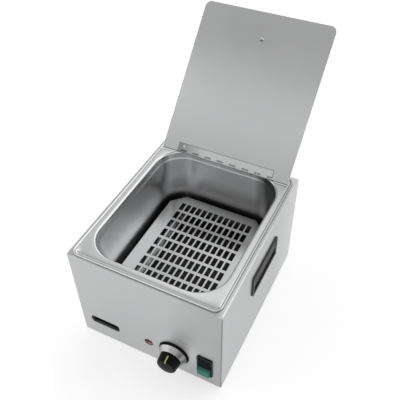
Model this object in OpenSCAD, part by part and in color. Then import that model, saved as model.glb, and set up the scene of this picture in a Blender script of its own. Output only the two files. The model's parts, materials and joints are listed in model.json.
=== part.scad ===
// Counter-top well warmer with a hinged lid, front controls and side handles.
// Millimetres, +Z up, +X to the right of the front panel, +Y to the rear.

/* [Housing] */
// Width across the side walls
housing_w = 290; // [262:1:318]
// Depth from the front face to the rear edge
housing_d = 345; // [312:1:378]
// Height of the folded housing
housing_h = 221; // [200:1:242]
// Gap between the floor and the lower edge
foot_gap = 3; // [2.6:0.1:5]
// Sheet thickness of the housing
sheet = 1.2; // [1:0.1:1.4]
// Outside bend radius
bend_r = 2; // [1.8:0.1:2.6]
// Width of the rear return flanges
rear_return = 12; // [11:1:15]
// Width of the bottom lips
bottom_lip = 14; // [12:1:16]

/* [Well] */
// Distance from the side walls to the flange
flange_side = 6.5; // [5.5:0.5:7.5]
// Distance from the front face to the flange
flange_front = 3; // [2.5:0.5:4]
// Distance from the rear edge of the housing to the flange
flange_rear = 10; // [8:0.5:12]
// Corner radius of the flange
flange_r = 13; // [11:1:18]
// Width of the flange beside the opening
flange_band = 11.5; // [10.5:0.5:13]
// Width of the flange in front of the opening
flange_front_band = 13; // [12:0.5:15]
// Width of the flange behind the opening
flange_rear_band = 9; // [8.5:0.5:12]
// Corner radius of the opening
opening_r = 59; // [50:1:62]
// Height of the flange above the deck
flange_rise = 4; // [3.8:0.1:4.5]
// Height of the well bottom above the floor
well_floor = 78; // [76:1:88]
// Thickness of the well sheet
well_t = 1; // [0.8:0.1:1]
// Radius of the rolled rim
rim_roll = 4; // [3.6:0.1:4]
// Step of the stacking shoulder
shoulder_step = 1.5; // [1:0.5:3]
// Height of the shoulder below the flange
shoulder_drop = 13; // [11:1:30]
// Draft of the wall below the shoulder
well_draft = 6; // [5:0.5:7]
// Fillet between wall and bottom
well_fillet = 18; // [14:1:20]
// Depth of the drip groove near the flange edge
groove_depth = 1.2; // [0.6:0.1:1.2]

/* [Lid and hinge] */
// Distance from the flange sides to the lid sides
lid_side = 6; // [6:0.5:8]
// Distance from the front face to the front edge of the closed lid
lid_front = 15.6; // [12:0.1:18]
// Thickness of the lid sheet
lid_t = 1; // [0.8:0.1:1]
// Front corner radius of the lid
lid_r = 12; // [6:1:20]
// Distance from the rear edge of the housing to the hinge axis
hinge_rear = 30.5; // [30:0.5:31.5]
// Angle between the closed and the open lid
lid_open_deg = 132.8; // [100:0.1:134]
// Length of the hinge
hinge_len = 200; // [180:1:220]
// Radius of the hinge knuckles
knuckle_r = 2.5; // [2.4:0.1:2.6]
// Gap between a knuckle and the edge of the other leaf
notch_gap = 1.2; // [0.8:0.1:1.6]
// Thickness of the hinge leaves
leaf_t = 1; // [0.8:0.1:1]
// Width of the lid leaf measured from the axis
leaf_w = 16; // [14:0.5:17]
// Width of the fixed leaf measured from the axis
fixed_leaf_w = 18.5; // [16:0.5:19]
// Distance between two knuckles of the same leaf
knuckle_pitch = 26.3; // [26:0.1:26.6]
// Radius of the hinge pin
hinge_pin_r = 1; // [0.8:0.05:1.1]
// Running clearance of the lid knuckles on the pin
hinge_fit = 0.08; // [0.05:0.01:0.1]
// Distance of the lid knob from the front edge of the lid
lid_knob_front = 51.4; // [36:0.1:70]
// Radius of the lid knob
lid_knob_r = 16; // [13:0.5:17]
// Height of the lid knob
lid_knob_h = 24; // [20:0.5:26]

/* [Drain plate] */
// Distance from the opening sides to the perforated plate
plate_side = 21.5; // [20.5:0.5:24]
// Distance from the opening ends to the perforated plate
plate_end = 20; // [19:0.5:23]
// Height of the plate above the well bottom
plate_rise = 38; // [32:1:44]
// Thickness of the plate sheet
plate_t = 1.2; // [1:0.1:1.5]
// Chamfer at the plate corners
plate_chamfer = 26; // [22:1:30]
// Number of slot columns
slot_cols = 13; // [11:2:13]
// Number of slot rows
slot_rows = 9; // [7:1:9]
// Width of one slot
slot_w = 9; // [7:0.5:9.5]
// Length of one slot
slot_l = 20; // [14:0.1:20.5]
// Distance between slot columns
slot_pitch_x = 12.35; // [12:0.05:12.6]
// Distance between slot rows
slot_pitch_y = 26.3; // [25:0.1:26.4]

/* [Front controls] */
// Distance of the thermostat knob from the right side wall
knob_inset = 92.5; // [90:0.5:95]
// Height of the thermostat knob
knob_z = 53.5; // [52:0.5:54]
// Radius of the black dial ring
ring_r = 30; // [28:0.5:31]
// Depth of the dial ring
ring_d = 4.5; // [3:0.1:5.5]
// Depth of the conical skirt
skirt_d = 9.5; // [8:0.1:11]
// Radius of the knob grip at its base
grip_r = 20; // [18.5:0.5:20]
// Radius of the knob grip at its front
grip_front_r = 18.6; // [17:0.1:19]
// Rounding of the front edge of the grip
grip_round = 4; // [2:0.5:5]
// Length of the knob grip
grip_len = 19.2; // [17:0.1:21]
// Distance of the pointer's rear end from the base of the grip
pointer_back = 5.3; // [4:0.1:7]
// Radius at which the pointer ends on the front face
pointer_low = 12.8; // [10:0.1:14]
// Radius of the control shaft
shaft_r = 3; // [2.8:0.1:3.2]
// Running clearance of the control shaft
shaft_fit = 0.08; // [0.05:0.01:0.1]
// Angle of the pointer left of straight up
pointer_deg = 0; // [-10:1:15]
// Distance of the pilot lamp from the right side wall
pilot_inset = 144.5; // [142:0.5:148]
// Height of the pilot lamp
pilot_z = 50.5; // [48:0.5:53]
// Radius of the pilot lamp hole
pilot_r = 9; // [8:0.5:9.5]
// Distance of the switch from the right side wall
switch_inset = 31.3; // [30:0.1:33]
// Height of the switch
switch_z = 54.8; // [53.5:0.1:55]
// Width of the switch bezel
bezel_w = 30; // [29:0.5:31]
// Height of the switch bezel
bezel_h = 54; // [53:0.5:55]
// Thickness of the switch bezel
bezel_t = 2.5; // [2:0.1:3]
// Tilt of the rocker at either end of its travel
rocker_deg = 14; // [10:0.5:14]
// Radius of the rocker pins
rocker_pin_r = 1.5; // [1.3:0.05:1.6]
// Running clearance of the rocker pins
rocker_fit = 0.06; // [0.04:0.01:0.1]
// Distance of the front vent slot from the left side wall
vent_inset = 51.5; // [49:0.5:55]
// Height of the front vent slot
vent_z = 47.8; // [44:0.1:50]
// Length of the front vent slot
vent_len = 61.5; // [58:0.5:66]
// Height of the opening of the front vent slot
vent_h = 19.5; // [16:0.5:20]

// Depth of the drawn edge of the front vent slot
vent_collar_d = 5; // [3:0.5:8]

/* [Side handles] */
// Length of the handle block along the side wall
cup_len = 114; // [112:0.5:118]
// Height of the handle block
cup_h = 51; // [50:0.5:54]
// How far the handle block stands out
cup_proud = 3.5; // [3:0.1:4]
// Depth of the finger pocket behind the side wall
cup_depth = 12; // [10:0.5:13]
// Distance from the rear edge of the housing to the handle centre
cup_rear = 166; // [160:1:175]
// Distance from the top of the housing to the handle centre
cup_drop = 74.5; // [69:0.5:84]

/* [Base and rear] */
// Distance of the feet from the side and end faces
foot_inset = 30; // [29:0.5:36]
// Radius of the foot head
foot_r = 11; // [9:0.5:12]
// Radius of the foot stem
stem_r = 4; // [3.5:0.1:4.2]
// Clearance of the foot stem in the base plate
stem_fit = 0.1; // [0.05:0.01:0.1]
// Radius of the cord bore of the gland
cord_r = 4; // [3.5:0.1:4.5]
// Distance of the cord gland from the right side wall
gland_inset = 50; // [40:1:65]
// Height of the cord gland
gland_z = 45; // [40:1:50]
// Radius of the small screws
screw_r = 1.5; // [1.3:0.05:1.6]

/* [Heating] */
// Radius of the heating tube
tube_r = 4; // [3:0.1:4.2]
// Distance between the bends and the middle of the heating tube
run_x = 25; // [24:0.5:26]
// Distance from the front face to the front bend
run_front = 95; // [90:1:100]
// Distance from the rear edge of the housing to the rear bends
run_rear_gap = 87; // [85:1:95]
// Distance from the front bend to the front clamp bar
clamp_front = 33; // [30:1:40]
// Distance from the rear bends to the rear clamp bar
clamp_rear = 46; // [42:1:52]
// Width of the clamp bars
clamp_w = 14; // [12:0.5:16]
// Distance from the front clamp bar to the sensor bulb
bulb_gap = 10; // [9:0.5:14]
// Length of the sensor bulb
bulb_len = 64; // [50:1:70]
// Distance of the sensor bulb from the middle between two runs
bulb_off = 7.5; // [0:0.5:9]

/* [Node] */
// Sub-part to draw

/* [Hidden] */
$fn = 48;
steel = [0.72, 0.73, 0.74];
dark = [0.1, 0.1, 0.11];
side_x = housing_w / 2;
deck_z = foot_gap + housing_h;
flange_w = housing_w - 2 * flange_side;
flange_d = housing_d - flange_front - flange_rear;
opening_w = flange_w - 2 * flange_band;
opening_d = flange_d - flange_front_band - flange_rear_band;
flange_z = deck_z + flange_rise;
flange_cy = flange_front + flange_d / 2;
opening_cy = flange_front + flange_front_band + opening_d / 2;
well_depth = flange_z - well_floor;
well_under = well_floor - well_t;
lid_w = flange_w - 2 * lid_side;
plate_w = opening_w - 2 * plate_side;
plate_d = opening_d - 2 * plate_end;
knob_x = side_x - knob_inset;
pilot_x = side_x - pilot_inset;
switch_x = side_x - switch_inset;
vent_x = vent_inset - side_x;
cup_y = housing_d - cup_rear;
cup_z = deck_z - cup_drop;
gland_x = side_x - gland_inset;
leaf_gap = 0.3;
hinge_y = housing_d - hinge_rear;
hinge_z = flange_z + knuckle_r + leaf_gap;
lid_lo = -knuckle_r + leaf_t;
lid_hi = lid_lo + lid_t;
ear_reach = 2.1;
lid_fwd = hinge_y - lid_front;
lid_len = lid_fwd + ear_reach;
front_reach = ring_d + skirt_d + 0.3 + grip_len;
rear_reach = hinge_y - lid_fwd * cos(lid_open_deg) + lid_hi * sin(lid_open_deg);
plan_centre_y = (rear_reach - front_reach) / 2;
base_z = foot_gap + sheet;
base_t = 1;
panel_y = housing_d - sheet;
panel_t = 1;
gap = 0.3;

// Frame and shared shapes

module set_origin() {
  translate([0, -plan_centre_y, 0]) children();
}

module plan_round(w, d, r) {
  square([w - 2 * r, d], center = true);
  square([w, d - 2 * r], center = true);
  for (sx = [-1, 1], sy = [-1, 1])
    translate([sx * (w / 2 - r), sy * (d / 2 - r)]) circle(r);
}

module obround(l, h) {
  square([l - h, h], center = true);
  for (s = [-1, 1]) translate([s * (l - h) / 2, 0]) circle(h / 2);
}

// Block with rounded vertical and top edges, standing on z = 0
module bent_block(w, d, h, r) {
  linear_extrude(h - r) plan_round(w, d, r);
  linear_extrude(h) square([w - 2 * r, d - 2 * r], center = true);
  for (s = [-1, 1]) {
    translate([s * (w / 2 - r), 0, h - r])
      rotate([90, 0, 0]) cylinder(h = d - 2 * r, r = r, center = true);
    translate([0, s * (d / 2 - r), h - r])
      rotate([0, 90, 0]) cylinder(h = w - 2 * r, r = r, center = true);
    for (t = [-1, 1])
      translate([s * (w / 2 - r), t * (d / 2 - r), h - r]) sphere(r);
  }
}

// Cylinder along +Y starting at y
module rod_y(x, y, z, r, len) {
  translate([x, y, z]) rotate([-90, 0, 0]) cylinder(h = len, r = r);
}

// Revolved profile about an axis along -Y, profile given as radius and distance
module turned_front(x, y, z) {
  translate([x, y, z]) rotate([90, 0, 0]) rotate_extrude() children();
}

// Quarter bend of a thin tube in the plane of its own x and y
module quarter(bend, r) {
  rotate_extrude(angle = 90) translate([bend, 0]) circle(r);
}

module pan_screw(head_r, head_h, len) {
  // head above z = 0, shank below
  cylinder(h = head_h * 0.5, r = head_r);
  translate([0, 0, head_h * 0.5]) cylinder(h = head_h * 0.5, r1 = head_r, r2 = head_r * 0.6);
  translate([0, 0, -len]) cylinder(h = len, r = screw_r);
}

rear_screw_at = [for (s = [-1, 1], k = [0.14, 0.5, 0.86])
  [s * (side_x - rear_return / 2 - 1), foot_gap + k * housing_h]];
base_screw_at = [for (s = [-1, 1], k = [0.2, 0.5, 0.8])
  [s * (side_x - bottom_lip / 2 - 0.5), k * housing_d]];
foot_at = [for (s = [-1, 1], y = [foot_inset, housing_d - foot_inset])
  [s * (side_x - foot_inset), y]];

// Housing

module cup_cut(clear) {
  translate([0, cup_y, cup_z])
    cube([housing_w + 20, cup_len - 8 + 2 * clear, cup_h - 8.4 + 2 * clear], center = true);
}

module vent_shape(grow) {
  plan_round(vent_len + 2 * grow, vent_h + 2 * grow, 7 + grow);
}

// Edge of the front vent slot, drawn inwards
module vent_collar() {
  translate([vent_x, vent_collar_d, vent_z]) rotate([90, 0, 0])
    linear_extrude(vent_collar_d - sheet + 0.1) difference() {
      vent_shape(1);
      vent_shape(0);
    }
}

module housing() {
  color(steel) set_origin() vent_collar();
  color(steel) set_origin() difference() {
    translate([0, housing_d / 2, foot_gap]) bent_block(housing_w, housing_d, housing_h, bend_r);
    translate([0, housing_d / 2, base_z])
      bent_block(housing_w - 2 * sheet, housing_d - 2 * sheet, housing_h - 2 * sheet, bend_r - sheet);
    translate([0, housing_d / 2, foot_gap])
      cube([housing_w - 2 * bottom_lip, housing_d - 2 * bottom_lip, 8], center = true);
    translate([0, housing_d, foot_gap + housing_h / 2])
      cube([housing_w - 2 * rear_return, 10, housing_h - 2 * rear_return], center = true);
    translate([0, opening_cy, deck_z - 5])
      linear_extrude(10) plan_round(opening_w, opening_d, opening_r);
    translate([vent_x, 5, vent_z]) rotate([90, 0, 0]) linear_extrude(10) vent_shape(0);
    rod_y(pilot_x, -5, pilot_z, pilot_r, 10);
    rod_y(knob_x, -5, knob_z, 6, 10);
    for (s = [-1, 1]) rod_y(knob_x, -5, knob_z + s * 14, 2.1, 10);
    translate([switch_x, 0, switch_z]) cube([bezel_w - 3, 10, bezel_h - 4], center = true);
    cup_cut(0.4);
    for (p = rear_screw_at) rod_y(p[0], housing_d - 5, p[1], screw_r + 0.15, 10);
    for (p = base_screw_at) translate([p[0], p[1], 0]) cylinder(h = 10, r = screw_r + 0.15);
  }
}

module rear_panel() {
  color(steel) set_origin() difference() {
    translate([sheet + 0.5 - side_x, panel_y - panel_t, base_z + base_t + gap])
      cube([housing_w - 2 * sheet - 1, panel_t, housing_h - 2 * sheet - base_t - 1.2]);
    for (cx = [-70, 0, 70], k = [0:4])
      translate([cx, panel_y + 4, deck_z - 40 - 12 * k])
        rotate([90, 0, 0]) linear_extrude(10) obround(54, 5);
    rod_y(gland_x, panel_y - 5, gland_z, cord_r + 4.1, 10);
    for (p = rear_screw_at) rod_y(p[0], panel_y - 5, p[1], screw_r + 0.05, 10);
  }
}

module rear_screws() {
  color(steel) set_origin()
    for (p = rear_screw_at)
      translate([p[0], housing_d, p[1]]) rotate([-90, 0, 0]) pan_screw(3.2, 1.8, 6);
}

module base_plate() {
  color(steel) set_origin() difference() {
    translate([sheet + 0.6 - side_x, sheet + 0.6, base_z])
      cube([housing_w - 2 * sheet - 1.2, housing_d - 2 * sheet - 1.2, base_t]);
    for (p = foot_at)
      translate([p[0], p[1], 0]) cylinder(h = 10, r = stem_r + stem_fit);
    for (p = base_screw_at)
      translate([p[0], p[1], 0]) cylinder(h = 10, r = screw_r + 0.05);
    for (cx = [-75, -25, 25, 75], k = [0:5])
      translate([cx, 110 + 22 * k, 0]) linear_extrude(10) obround(36, 6);
  }
}

module base_screws() {
  color(steel) set_origin() {
    for (p = base_screw_at)
      translate([p[0], p[1], foot_gap]) rotate([180, 0, 0]) pan_screw(3.2, 1.6, 4);
  }
}

module feet() {
  color(dark) set_origin()
    for (p = foot_at) translate([p[0], p[1], 0]) {
      cylinder(h = base_z, r1 = foot_r - 1, r2 = foot_r);
      cylinder(h = base_z + base_t + 1, r = stem_r);
      translate([0, 0, base_z + base_t + 0.2]) cylinder(h = 5, r1 = stem_r + 1.2, r2 = stem_r - 1.2);
    }
}

// Side handles

module handle_cup() {
  wall = side_x;
  half_y = (cup_len - 8) / 2;
  half_z = (cup_h - 8.4) / 2;
  translate([0, cup_y, cup_z]) difference() {
    union() {
      translate([wall, 0, 0]) rotate([90, 0, 90])
        linear_extrude(cup_proud) plan_round(cup_len, cup_h, 6);
      translate([wall - cup_depth - 2, -half_y, -half_z])
        cube([cup_depth + 3, 2 * half_y, 2 * half_z]);
      for (y = [-34, 34], s = [-1, 1])
        translate([wall - sheet - 3.4, y, s * half_z]) rotate([90, 0, 0])
          linear_extrude(12, center = true) polygon([[0, -s], [0, 0], [3, s * 1.2], [3, -s]]);
    }
    translate([wall - cup_depth, 2 - half_y, 1.8 - half_z])
      cube([cup_depth - 3, 2 * half_y - 4, 2 * half_z - 4]);
    translate([wall - cup_depth, 2 - half_y, 1.8 - half_z])
      cube([cup_depth + 20, 2 * half_y - 4, half_z - 0.8]);
    translate([wall, 0, 0]) rotate([90, 0, 0]) linear_extrude(2 * half_y - 4, center = true)
      polygon([[cup_proud, 1], [cup_proud + 3, 1], [cup_proud + 3, half_z], [0.6, half_z]]);
  }
}

module right_handle_cup() {
  color(dark) set_origin() handle_cup();
}

module left_handle_cup() {
  color(dark) set_origin() mirror([1, 0, 0]) handle_cup();
}

// Drawn well: rings lofted from the inner bottom over the rim and back under

corner_n = 9;
ring_n = 4 * (corner_n + 1);

function arc(cu, cz, r, a0, a1, n) =
  [for (i = [0:n]) let (a = a0 + (a1 - a0) * i / n) [cu + r * cos(a), cz + r * sin(a)]];

function ring(w, d, r, cy, z) =
  [for (c = [0:3], i = [0:corner_n])
    let (a = 90 * (c + i / corner_n), sx = (c == 0 || c == 3) ? 1 : -1, sy = c < 2 ? 1 : -1)
    [sx * (w / 2 - r) + r * cos(a), cy + sy * (d / 2 - r) + r * sin(a), z]];

// Ring at a distance u outside the opening
function inner_ring(p) =
  ring(opening_w + 2 * p[0], opening_d + 2 * p[0], opening_r + p[0], opening_cy, flange_z + p[1]);

// Ring at a distance v inside the flange edge
function outer_ring(p) =
  ring(flange_w - 2 * p[0], flange_d - 2 * p[0], flange_r - p[0], flange_cy, flange_z + p[1]);

wall_u = -(rim_roll + 1 + shoulder_step);
foot_u = wall_u - well_draft;
fillet_u = foot_u - well_fillet;
fillet_z = well_fillet - well_depth;
profile_in = concat(
  arc(fillet_u, fillet_z, well_fillet, 270, 360, 6),
  [[wall_u, -shoulder_drop - 5], [wall_u + 0.25, -shoulder_drop - 3.6]],
  [[-rim_roll - 1.25, -shoulder_drop - 0.6], [-rim_roll - 1, -shoulder_drop + 0.8]],
  arc(0, -rim_roll, rim_roll, 180, 90, 6)
);
profile_edge = [
  [4.9, 0], [4.5, -0.2 * groove_depth], [4.1, -0.85 * groove_depth], [3.7, -groove_depth],
  [3.1, -groove_depth], [2.7, -0.85 * groove_depth], [2.3, -0.2 * groove_depth], [1.9, 0],
  [1.2, 0], [0.5, -0.2], [0.1, -0.6], [0, -1.3], [0, -flange_rise],
  [well_t, -flange_rise], [well_t, -groove_depth - well_t], [4.3, -groove_depth - well_t],
  [5.2, -0.7 * groove_depth - well_t], [6.2, -well_t]
];
profile_out = concat(
  arc(0, -rim_roll, rim_roll - well_t, 90, 180, 5),
  [[-rim_roll - 1 + well_t, -shoulder_drop + 0.6], [-rim_roll - 1.25 + well_t, -shoulder_drop - 0.8]],
  [[wall_u + 0.25 + well_t, -shoulder_drop - 3.8], [wall_u + well_t, -shoulder_drop - 5.2]],
  arc(fillet_u, fillet_z, well_fillet + well_t, 360, 270, 6)
);
well_rings = concat(
  [for (p = profile_in) inner_ring(p)],
  [for (p = profile_edge) outer_ring(p)],
  [for (p = profile_out) inner_ring(p)]
);

module well() {
  count = len(well_rings);
  verts = [for (r = well_rings) for (p = r) p];
  sides = [for (k = [0:count - 2], i = [0:ring_n - 1], h = [0, 1])
    let (j = (i + 1) % ring_n, a = k * ring_n, b = a + ring_n)
    h == 0 ? [a + i, a + j, b + j] : [a + i, b + j, b + i]];
  top = [[for (i = [ring_n - 1:-1:0]) i]];
  low = [[for (i = [0:ring_n - 1]) (count - 1) * ring_n + i]];
  color(steel) set_origin() polyhedron(points = verts, faces = concat(top, sides, low), convexity = 8);
}

// Perforated plate standing in the well on two rails

module drain_plate() {
  top_z = well_floor + plate_rise;
  hw = plate_w / 2;
  hd = plate_d / 2;
  c = plate_chamfer;
  color(steel) set_origin() translate([0, opening_cy, 0]) {
    difference() {
      translate([0, 0, top_z - plate_t]) linear_extrude(plate_t)
        polygon([[-hw, c - hd], [c - hw, -hd], [hw - c, -hd], [hw, c - hd],
          [hw, hd - c], [hw - c, hd], [c - hw, hd], [-hw, hd - c]]);
      for (i = [0:slot_cols - 1], j = [0:slot_rows - 1])
        translate([(i - (slot_cols - 1) / 2) * slot_pitch_x,
            (j - (slot_rows - 1) / 2) * slot_pitch_y, top_z])
          cube([slot_w, slot_l, 10], center = true);
    }
    for (s = [-1, 1]) {
      translate([s * (hw - plate_t / 2), 0, top_z - 4])
        cube([plate_t, plate_d - 2 * c - 8, 8], center = true);
      difference() {
        translate([s * 84 - plate_t / 2, 20 - hd, well_floor + gap])
          cube([plate_t, plate_d - 40, plate_rise - plate_t - gap + 0.2]);
        for (k = [-2:2]) translate([s * 84, 44 * k, well_floor + plate_rise / 2])
          rotate([90, 0, 90]) linear_extrude(10, center = true) obround(32, 12);
      }
      translate([s * 84 - (s > 0 ? 8 : 0), 20 - hd, well_floor + gap])
        cube([8, plate_d - 40, plate_t]);
    }
  }
}

// Heating group under the well

run_rear = housing_d - run_rear_gap;
lead_y = run_front - 23;
tube_z = well_under - tube_r - 0.2;
bar_z = tube_z - tube_r - 0.2;

module bend_flat(x, y, turn) {
  translate([x, y, tube_z]) rotate([0, 0, turn])
    rotate_extrude(angle = 180) translate([run_x, 0]) circle(tube_r);
}

module heating_element() {
  color([0.35, 0.35, 0.36]) set_origin() {
    for (x = [-3, -1, 1, 3]) {
      y0 = abs(x) == 3 ? lead_y : run_front;
      rod_y(x * run_x, y0, tube_z, tube_r, run_rear - y0);
    }
    bend_flat(-2 * run_x, run_rear, 0);
    bend_flat(2 * run_x, run_rear, 0);
    bend_flat(0, run_front, 180);
    for (s = [-1, 1]) translate([s * 3 * run_x, lead_y, tube_z - 10]) {
      rotate([90, 0, -90]) rotate_extrude(angle = 90) translate([10, 0]) circle(tube_r);
      translate([0, -10, -16]) cylinder(h = 16, r = tube_r);
      translate([-2, -10.4, -27]) cube([4, 0.8, 12]);
    }
  }
}

clamp_at = [run_front + clamp_front, run_rear - clamp_rear];
bar_half = 3 * run_x + 20;
stud_at = [for (x = [-2, 2], y = clamp_at) [x * run_x, y]];

module element_clamps() {
  color(steel) set_origin() difference() {
    for (y = clamp_at)
      translate([-bar_half, y - clamp_w / 2, bar_z - 1.5]) cube([2 * bar_half, clamp_w, 1.5]);
    for (p = stud_at) translate([p[0], p[1], bar_z - 5]) cylinder(h = 10, r = 2.2);
  }
}

module clamp_studs() {
  color(steel) set_origin()
    for (p = stud_at) translate([p[0], p[1], bar_z - 9]) cylinder(h = well_under - bar_z + 9, r = 2);
}

module clamp_nuts() {
  color(steel) set_origin()
    for (p = stud_at) translate([p[0], p[1], bar_z - 4.7]) difference() {
      cylinder(h = 3.2, r = 4, $fn = 6);
      translate([0, 0, -1]) cylinder(h = 6, r = 2.05);
    }
}

module thermal_cutout() {
  color(dark) set_origin() translate([0, run_rear - 18, 0]) {
    translate([0, 0, well_under - 3]) cylinder(h = 3, r = 8);
    translate([0, 0, well_under - 9]) cylinder(h = 6, r = 7);
    for (s = [-1, 1]) translate([s * 4 - 0.4, -2, well_under - 16]) cube([0.8, 4, 8]);
  }
}

module sensor_bulb() {
  x = 2 * run_x - bulb_off;
  z = well_under - 3.3;
  z2 = knob_z + 6;
  back = sheet + 29.5;
  bulb_front = clamp_at[0] + bulb_gap;
  color([0.7, 0.45, 0.3]) set_origin() {
    rod_y(x, bulb_front, z, 3, bulb_len);
    rod_y(x, 50, z, 0.8, bulb_front - 49);
    translate([x, 50, z - 5]) rotate([0, 0, 180]) rotate([90, 0, 90]) quarter(5, 0.8);
    translate([x, 45, z2 + 5]) cylinder(h = z - z2 - 10, r = 0.8);
    translate([x, 40, z2 + 5]) rotate([90, 0, 90]) rotate([0, 0, -90]) quarter(5, 0.8);
    rod_y(x, back, z2, 0.8, 40 - back);
  }
}

// Rear connection

module terminal_block() {
  z = base_z + base_t;
  color([0.85, 0.84, 0.8]) set_origin() translate([gland_x - 35, housing_d - 60, z]) difference() {
    union() {
      translate([-22, -9, 0]) cube([44, 18, 8]);
      for (k = [-1, 0, 1]) translate([k * 11 - 4.5, -7, 8]) cube([9, 14, 6]);
    }
    for (k = [-1, 0, 1]) {
      translate([k * 11, 4, 9]) cylinder(h = 8, r = 2);
      rod_y(k * 11, -12, 6, 1.8, 24);
    }
  }
}

module cable_gland() {
  y0 = panel_y;
  color(dark) set_origin() difference() {
    union() {
      rod_y(gland_x, y0 - panel_t - 9, gland_z, cord_r + 4, panel_t + 10);
      rod_y(gland_x, y0, gland_z, cord_r + 7, 4);
      translate([gland_x, y0 + 4, gland_z]) rotate([-90, 0, 0])
        cylinder(h = 8, r1 = cord_r + 6, r2 = cord_r + 3.5);
    }
    rod_y(gland_x, y0 - 20, gland_z, cord_r, 60);
  }
}

module gland_nut() {
  color(dark) set_origin() translate([gland_x, panel_y - panel_t, gland_z]) rotate([90, 0, 0])
    difference() {
      cylinder(h = 5, r = cord_r + 7.5, $fn = 6);
      translate([0, 0, -1]) cylinder(h = 8, r = cord_r + 4.08);
    }
}

// Thermostat and knob

module dial_ring() {
  color(dark) set_origin() turned_front(knob_x, 0, knob_z) {
    polygon([[ring_r - 8, 0], [ring_r, 0], [ring_r, 0.6], [ring_r - 2.5, ring_d], [ring_r - 8, ring_d]]);
  }
}

module dial_skirt() {
  r0 = ring_r - 2.7;
  r1 = grip_r + 1.2;
  color([0.78, 0.78, 0.8]) set_origin() turned_front(knob_x, -ring_d, knob_z)
    polygon([[r0 - 1.2, 0], [r0, 0], [r1, skirt_d], [shaft_r + 1.5, skirt_d],
      [shaft_r + 1.5, skirt_d - 1], [r1 - 1.4, skirt_d - 1]]);
}

grip_back = -(ring_d + skirt_d + 0.3);

module grip_shape() {
  body = grip_len - 1.6;
  edge_r = grip_front_r - grip_round;
  turned_front(knob_x, grip_back, knob_z) {
    polygon([[0, 0], [grip_r, 0], [grip_r, 1.2], [grip_front_r, body - grip_round], [0, body - grip_round]]);
    translate([edge_r, body - grip_round]) circle(grip_round);
    polygon([[0, body - grip_round], [edge_r, body - grip_round], [edge_r, body], [0, grip_len]]);
  }
}

// Block of the pointer, with a clearance all round
module pointer_block(clear) {
  translate([knob_x, 0, knob_z]) rotate([0, -pointer_deg, 0])
    translate([-1.15 - clear, grip_back - grip_len - 2, pointer_low - clear])
      cube([2.3 + 2 * clear, grip_len + 2 - pointer_back + clear, 12]);
}

module knob_grip() {
  color(dark) set_origin() difference() {
    grip_shape();
    rod_y(knob_x, grip_back - 10, knob_z, shaft_r + 0.03, 40);
    pointer_block(0.05);
  }
}

module knob_pointer() {
  color([0.62, 0.7, 0.25]) set_origin() intersection() {
    grip_shape();
    pointer_block(0);
  }
}

module control_shaft() {
  color(steel) set_origin() rod_y(knob_x, grip_back - 10, knob_z, shaft_r, 10 - grip_back + 12);
}

module thermostat_body() {
  color([0.8, 0.79, 0.75]) set_origin() difference() {
    union() {
      translate([knob_x - 12, sheet, knob_z - 18]) cube([24, 1.5, 36]);
      translate([knob_x - 17, sheet + 1.5, knob_z - 16]) cube([34, 28, 32]);
      rod_y(knob_x, -3, knob_z, shaft_r + 2.4, 5);
      for (s = [-1, 1], t = [-1, 1])
        translate([knob_x + s * 9 - 0.4, sheet + 29.5, knob_z + t * 8 - 3]) cube([0.8, 8, 6]);
    }
    rod_y(knob_x, -10, knob_z, shaft_r + shaft_fit, 25);
    for (s = [-1, 1]) rod_y(knob_x, 0, knob_z + s * 14, 2, 8);
  }
}

module thermostat_screws() {
  color(steel) set_origin()
    for (s = [-1, 1]) translate([knob_x, 0, knob_z + s * 14]) rotate([90, 0, 0]) {
      cylinder(h = 2.2, r1 = 3.6, r2 = 2.8);
      translate([0, 0, -6]) cylinder(h = 6, r = 1.95);
    }
}

// Pilot lamp

module pilot_lamp_body() {
  color(dark) set_origin() difference() {
    union() {
      rod_y(pilot_x, sheet, pilot_z, pilot_r + 2.2, 2);
      rod_y(pilot_x, sheet, pilot_z, pilot_r + 1, 20);
      for (s = [-1, 1]) translate([pilot_x + s * 4 - 0.4, sheet + 20, pilot_z - 2.4]) cube([0.8, 8, 4.8]);
    }
    rod_y(pilot_x, 0, pilot_z, pilot_r - 0.4, 14);
  }
}

module pilot_lens() {
  color([0.75, 0.35, 0.3]) set_origin() {
    rod_y(pilot_x, 1.8, pilot_z, pilot_r - 0.5, 8);
    translate([pilot_x, 1.8, pilot_z]) rotate([90, 0, 0]) cylinder(h = 1.2, r1 = pilot_r - 0.5, r2 = pilot_r - 4);
  }
}

// Switch

well_hw = (bezel_w - 6.6) / 2;
well_hh = (bezel_h - 6.6) / 2;
pivot_y = 2;

module switch_body() {
  color(dark) set_origin() translate([switch_x, 0, switch_z]) difference() {
    union() {
      rotate([90, 0, 0]) linear_extrude(bezel_t) plan_round(bezel_w, bezel_h, 4);
      translate([-(bezel_w - 3.4) / 2, -0.5, -(bezel_h - 4.6) / 2])
        cube([bezel_w - 3.4, 24.5, bezel_h - 4.6]);
      for (s = [-1, 1], t = [-1, 0, 1])
        translate([s * 7 - 0.4, 24, t * 16 - 3.2]) cube([0.8, 8, 6.4]);
      for (s = [-1, 1], t = [-1, 1])
        translate([s * (bezel_w - 3.4) / 2, 0, t * 12]) linear_extrude(8, center = true)
          polygon([[-s * 1, sheet + 0.3], [s * 1.4, sheet + 0.3], [0, 10], [-s * 1, 10]]);
    }
    translate([-well_hw, -10, -well_hh]) cube([2 * well_hw, 10 + 19, 2 * well_hh]);
    translate([0, pivot_y, 0]) rotate([0, 90, 0])
      cylinder(h = bezel_w, r = rocker_pin_r + rocker_fit, center = true);
  }
}

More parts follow.
